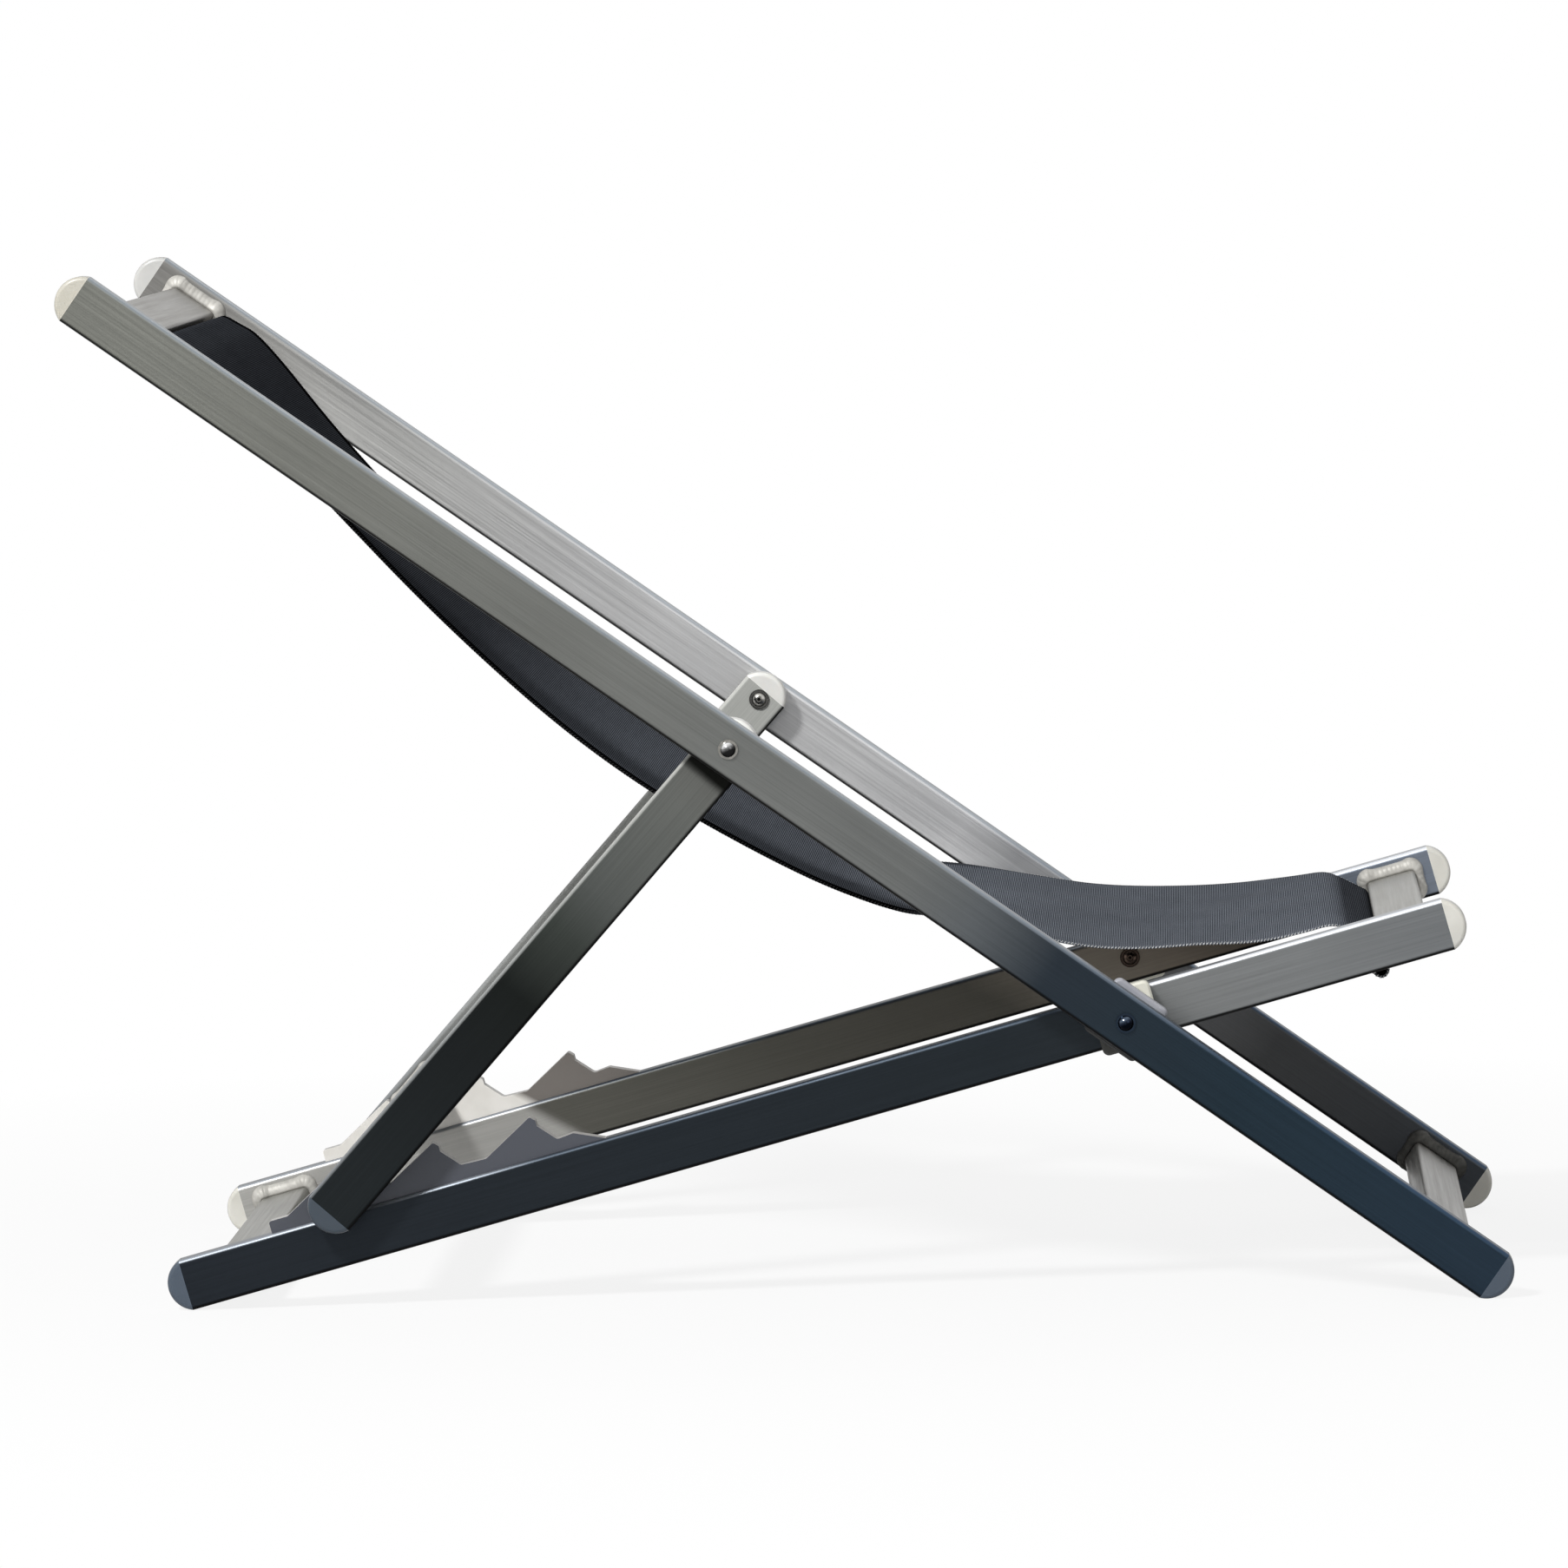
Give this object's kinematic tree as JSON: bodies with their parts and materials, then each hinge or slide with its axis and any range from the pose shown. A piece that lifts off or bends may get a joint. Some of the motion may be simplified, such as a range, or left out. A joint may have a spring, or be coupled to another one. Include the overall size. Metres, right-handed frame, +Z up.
{
  "type": "folding sling deck chair",
  "caption": "Low folding deck chair with a flat-tube frame, a toothed rack and prop behind the back, and one hanging mesh sling.",
  "frame": {"origin": "centre of the chair's footprint, on the floor it stands on", "axes": "+X the way the sitter faces, +Y the sitter's left, +Z up"},
  "size_m": [1.0934, 0.5714, 0.7966],
  "materials": {
    "frame_aluminium": "brushed, satin",
    "cap_plastic": "moulded, satin",
    "rack_plastic": "moulded, matt",
    "grey_plastic": "moulded, matt",
    "cream_plastic": "moulded, matt",
    "spacer_plastic": "moulded, matt",
    "bright_steel": "polished",
    "rod_steel": "drawn",
    "sling_cloth": "woven mesh"
  },
  "bodies": {
    "base_frame": {"base_rail_right": "frame_aluminium", "base_rail_left": "frame_aluminium", "front_crossbar": "frame_aluminium", "rear_crossbar": "frame_aluminium", "rack_right": "rack_plastic", "rack_left": "rack_plastic", "base_rear_cap_right": "cap_plastic", "base_front_cap_right": "cap_plastic", "base_hinge_plate_right": "cream_plastic", "main_pivot_bolt_right": "bright_steel", "main_pivot_washer_right": "bright_steel", "main_pivot_screw_right": "bright_steel", "base_rear_cap_left": "cap_plastic", "base_front_cap_left": "cap_plastic", "base_hinge_plate_left": "cream_plastic", "main_pivot_bolt_left": "bright_steel", "main_pivot_washer_left": "bright_steel", "main_pivot_screw_left": "bright_steel", "front_sling_rod": "rod_steel"},
    "long_frame": {"long_rail_right": "frame_aluminium", "long_rail_left": "frame_aluminium", "head_crossbar": "frame_aluminium", "foot_crossbar": "frame_aluminium", "long_head_cap_right": "cap_plastic", "long_foot_cap_right": "cap_plastic", "long_hinge_plate_right": "grey_plastic", "prop_pivot_bolt_right": "bright_steel", "prop_pivot_spacer_right": "spacer_plastic", "prop_pivot_washer_right": "bright_steel", "prop_pivot_screw_right": "bright_steel", "long_head_cap_left": "cap_plastic", "long_foot_cap_left": "cap_plastic", "long_hinge_plate_left": "grey_plastic", "prop_pivot_bolt_left": "bright_steel", "prop_pivot_spacer_left": "spacer_plastic", "prop_pivot_washer_left": "bright_steel", "prop_pivot_screw_left": "bright_steel", "head_sling_rod": "rod_steel", "sling": "sling_cloth"},
    "prop_frame": {"prop_leg_right": "frame_aluminium", "prop_leg_left": "frame_aluminium", "prop_crossbar": "frame_aluminium", "prop_weld_right": "frame_aluminium", "prop_weld_left": "frame_aluminium", "prop_top_cap_right": "cap_plastic", "prop_tail_cap_right": "cap_plastic", "prop_top_cap_left": "cap_plastic", "prop_tail_cap_left": "cap_plastic"}
  },
  "joints": [
    {"name": "back_hinge", "type": "hinge", "parent": "base_frame", "child": "long_frame", "pos_m": [0.25511, 0, 0.21526], "axis": [0, 1, 0], "range_deg": [0, 28], "deforming": ["sling"]},
    {"name": "prop_hinge", "type": "hinge", "parent": "long_frame", "child": "prop_frame", "pos_m": [-0.04257, 0, 0.42887], "axis": [0, 1, 0], "range_deg": [0, 78]}
  ]
}
